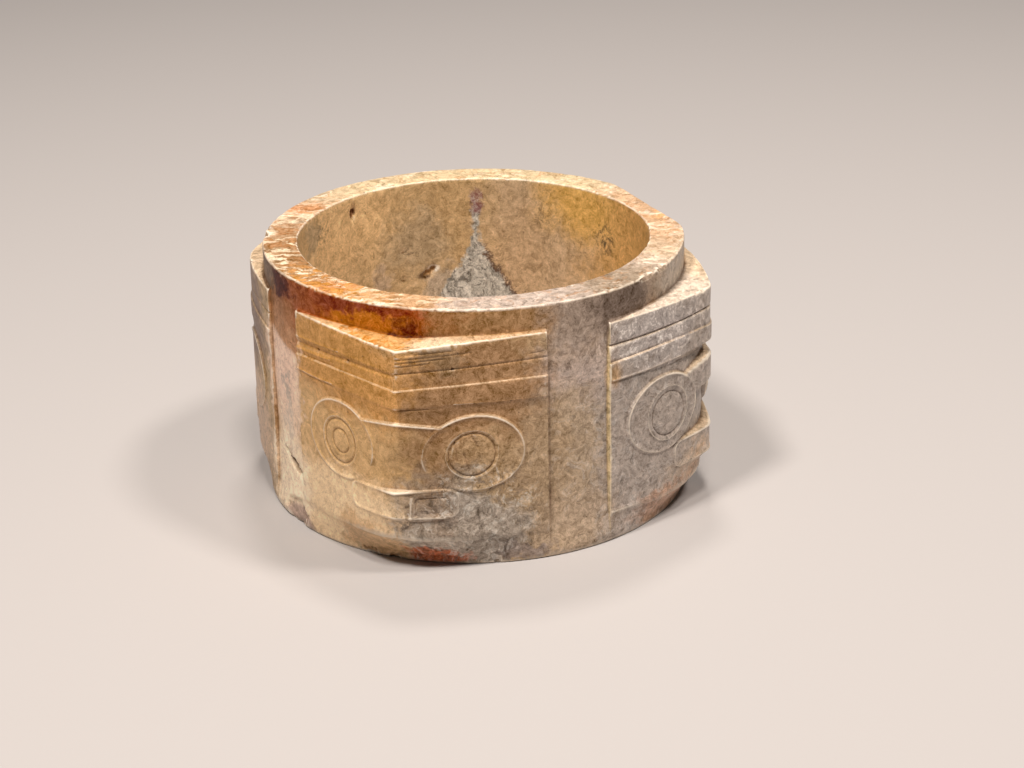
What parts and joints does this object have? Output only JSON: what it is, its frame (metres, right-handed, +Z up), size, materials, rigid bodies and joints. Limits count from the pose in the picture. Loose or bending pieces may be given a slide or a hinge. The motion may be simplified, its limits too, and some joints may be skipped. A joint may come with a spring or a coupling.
{
  "type": "jade cong",
  "caption": "Short jade tube, round inside and squared outside, with a carved mask at each corner, bare strips between them and a low round collar above and below.",
  "frame": {"origin": "middle of the underside, on the axis of the bore", "axes": "+Z up along the bore; the four bare strips face along X and Y, and the carved corners point between them"},
  "size_m": [0.131, 0.131, 0.079],
  "materials": {
    "jade": "satin polish, stained and worn"
  },
  "bodies": {
    "root": {"jade_cong": "jade"}
  },
  "joints": []
}
